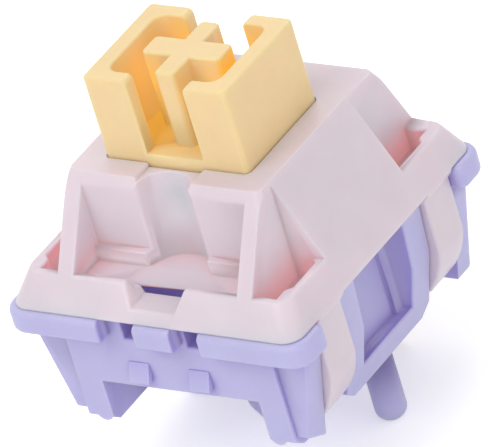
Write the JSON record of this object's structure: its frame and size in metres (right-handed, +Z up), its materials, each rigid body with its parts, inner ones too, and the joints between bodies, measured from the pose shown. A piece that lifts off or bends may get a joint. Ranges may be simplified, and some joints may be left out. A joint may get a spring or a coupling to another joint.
{
  "type": "mechanical keyboard switch",
  "caption": "Pluggable linear key switch: tapered two-part housing, boxed cross-shaped stem on a return spring, contact leaf, solder pins, centre post and side pegs.",
  "frame": {"origin": "axis of the centre post, at the plane where the base meets the circuit board", "axes": "+Z up along the stem's travel axis, -Y towards the light window, +X to the right seen from that side"},
  "size_m": [0.0156, 0.0156, 0.0187],
  "materials": {
    "cover_plastic": "satin moulded",
    "base_plastic": "satin moulded",
    "stem_plastic": "satin moulded",
    "spring_steel": "drawn wire",
    "contact_brass": "stamped sheet",
    "contact_gold": "bright"
  },
  "bodies": {
    "housing": {"top_housing": "cover_plastic", "bottom_housing": "base_plastic", "return_spring": "spring_steel", "fixed_contact": "contact_brass", "moving_contact": "contact_brass", "fixed_crosspoint": "contact_gold", "moving_crosspoint": "contact_gold"},
    "stem": {"stem": "stem_plastic"}
  },
  "joints": [
    {"name": "stem_slide", "type": "slide", "parent": "housing", "child": "stem", "axis": [0, 0, -1], "range_m": [0, 0.004], "stiffness_N_per_m": 60, "springref_m": -0.0035, "deforming": ["return_spring"]}
  ]
}
